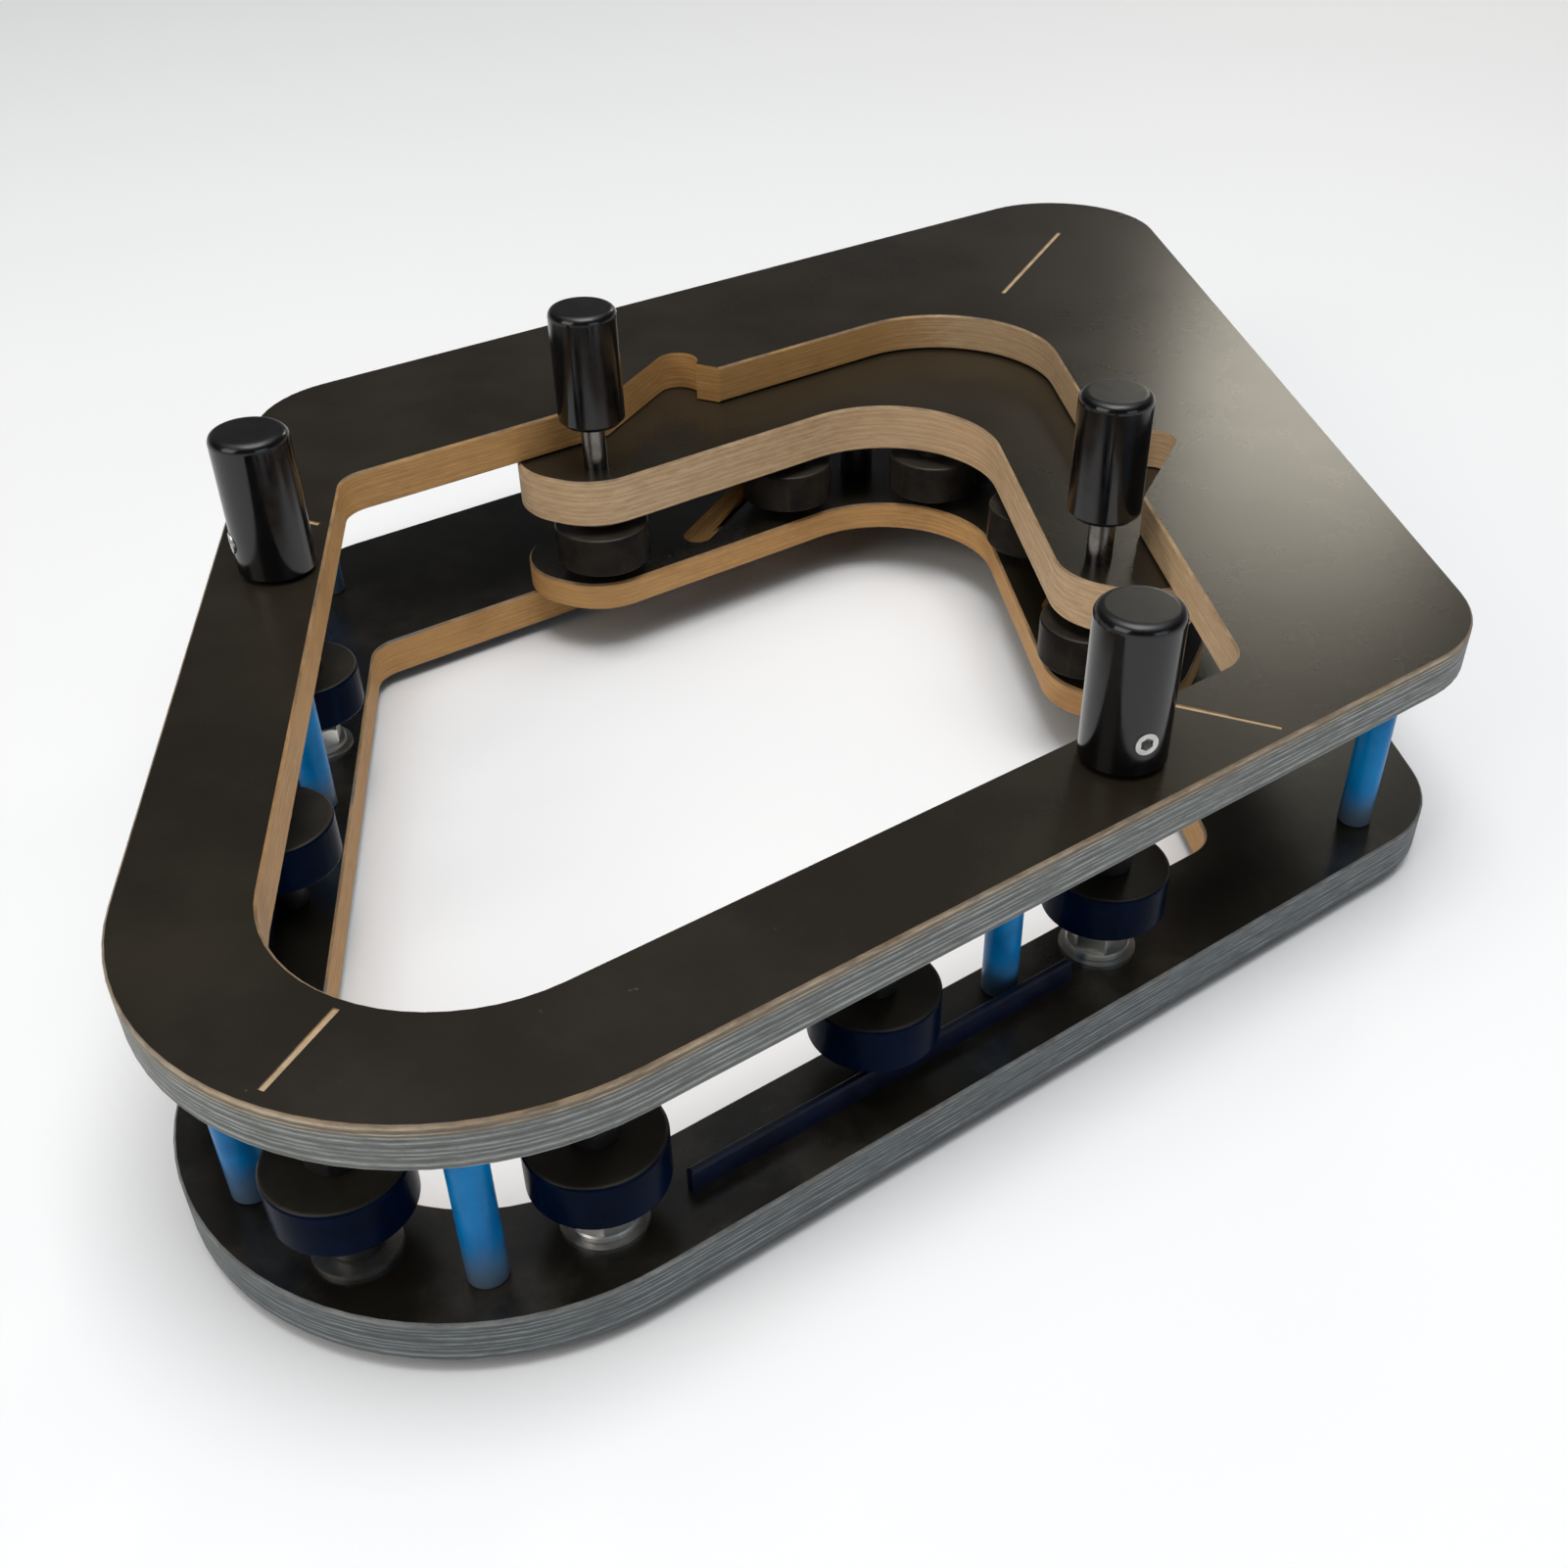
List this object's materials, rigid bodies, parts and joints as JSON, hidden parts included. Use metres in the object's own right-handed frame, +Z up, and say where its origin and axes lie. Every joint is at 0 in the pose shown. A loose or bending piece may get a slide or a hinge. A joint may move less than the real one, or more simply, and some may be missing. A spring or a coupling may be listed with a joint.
{
  "type": "nine-ball racking frame",
  "caption": "Kite-shaped two-plate nine-ball racking frame with rollers between the plates and a hand-squeezed sliding pusher that tightens the balls",
  "frame": {"origin": "centre of the outline, on the table under the feet", "axes": "+Z up, +Y towards the long rear point of the kite where the pusher sits, +X to the right seen from the front point"},
  "size_m": [0.2926, 0.4359, 0.089],
  "materials": {
    "film_plywood": "satin dark film on birch plywood, bare tan core inside the opening",
    "blue_spacer": "bright blue, smooth",
    "steel": "bright zinc plate",
    "black_plastic": "black, satin",
    "roller_plastic": "black, lightly worn",
    "black_gloss": "glossy black",
    "rubber": "matt black"
  },
  "bodies": {
    "frame": {"top_plate": "film_plywood", "bottom_plate": "film_plywood", "standoff_front_left": "blue_spacer", "standoff_front_right": "blue_spacer", "standoff_middle_left": "blue_spacer", "standoff_middle_right": "blue_spacer", "standoff_corner_left": "blue_spacer", "standoff_corner_right": "blue_spacer", "standoff_side_left": "blue_spacer", "standoff_side_right": "blue_spacer", "standoff_rear": "blue_spacer", "standoff_screws": "steel", "standoff_studs": "steel", "short_axles": "steel", "axle_lock_nuts": "steel", "axle_washers": "steel", "axle_hubs": "steel", "round_hubs": "black_plastic", "guide_posts": "steel", "knob_spacers": "black_plastic", "knob_axle_left": "steel", "knob_axle_right": "steel", "edge_strip_left": "black_plastic", "edge_strip_right": "black_plastic", "feet": "rubber", "fixed_knob_left": "black_gloss", "fixed_knob_right": "black_gloss", "fixed_knob_set_screws": "steel"},
    "pusher": {"pusher_top_plate": "film_plywood", "pusher_base_plate": "film_plywood", "pusher_spacers": "black_plastic", "pusher_screws": "steel", "pusher_axles": "steel", "pusher_washers": "steel", "pusher_shaft_left": "steel", "pusher_shaft_right": "steel", "moving_knob_left": "black_gloss", "moving_knob_right": "black_gloss", "moving_knob_set_screws": "steel"},
    "roller_front": {"roller_front": "roller_plastic"},
    "roller_left_1": {"roller_left_1": "roller_plastic"},
    "roller_left_2": {"roller_left_2": "roller_plastic"},
    "roller_left_3": {"roller_left_3": "roller_plastic"},
    "roller_right_1": {"roller_right_1": "roller_plastic"},
    "roller_right_2": {"roller_right_2": "roller_plastic"},
    "roller_right_3": {"roller_right_3": "roller_plastic"},
    "roller_apex": {"roller_apex": "roller_plastic"},
    "roller_shoulder_left": {"roller_shoulder_left": "roller_plastic"},
    "roller_shoulder_right": {"roller_shoulder_right": "roller_plastic"},
    "roller_ear_left": {"roller_ear_left": "roller_plastic"},
    "roller_ear_right": {"roller_ear_right": "roller_plastic"}
  },
  "joints": [
    {"name": "pusher_slide", "type": "slide", "parent": "frame", "child": "pusher", "axis": [0, 1, 0], "range_m": [-0.002, 0.046]},
    {"name": "roller_front_spin", "type": "hinge", "parent": "frame", "child": "roller_front", "pos_m": [0, -0.20481, 0.0285], "axis": [0, 0, 1], "continuous": true},
    {"name": "roller_left_1_spin", "type": "hinge", "parent": "frame", "child": "roller_left_1", "pos_m": [-0.03514, -0.18452, 0.0285], "axis": [0, 0, 1], "continuous": true},
    {"name": "roller_left_2_spin", "type": "hinge", "parent": "frame", "child": "roller_left_2", "pos_m": [-0.06371, -0.13503, 0.0285], "axis": [0, 0, 1], "continuous": true},
    {"name": "roller_left_3_spin", "type": "hinge", "parent": "frame", "child": "roller_left_3", "pos_m": [-0.09229, -0.08554, 0.0285], "axis": [0, 0, 1], "continuous": true},
    {"name": "roller_right_1_spin", "type": "hinge", "parent": "frame", "child": "roller_right_1", "pos_m": [0.03514, -0.18452, 0.0285], "axis": [0, 0, 1], "continuous": true},
    {"name": "roller_right_2_spin", "type": "hinge", "parent": "frame", "child": "roller_right_2", "pos_m": [0.06371, -0.13503, 0.0285], "axis": [0, 0, 1], "continuous": true},
    {"name": "roller_right_3_spin", "type": "hinge", "parent": "frame", "child": "roller_right_3", "pos_m": [0.09229, -0.08554, 0.0285], "axis": [0, 0, 1], "continuous": true},
    {"name": "roller_apex_spin", "type": "hinge", "parent": "pusher", "child": "roller_apex", "pos_m": [0, 0.07431, 0.0285], "axis": [0, 0, 1], "continuous": true},
    {"name": "roller_shoulder_left_spin", "type": "hinge", "parent": "pusher", "child": "roller_shoulder_left", "pos_m": [-0.03514, 0.05402, 0.0285], "axis": [0, 0, 1], "continuous": true},
    {"name": "roller_shoulder_right_spin", "type": "hinge", "parent": "pusher", "child": "roller_shoulder_right", "pos_m": [0.03514, 0.05402, 0.0285], "axis": [0, 0, 1], "continuous": true},
    {"name": "roller_ear_left_spin", "type": "hinge", "parent": "pusher", "child": "roller_ear_left", "pos_m": [-0.0646, 0.003, 0.0285], "axis": [0, 0, 1], "continuous": true},
    {"name": "roller_ear_right_spin", "type": "hinge", "parent": "pusher", "child": "roller_ear_right", "pos_m": [0.0646, 0.003, 0.0285], "axis": [0, 0, 1], "continuous": true}
  ]
}
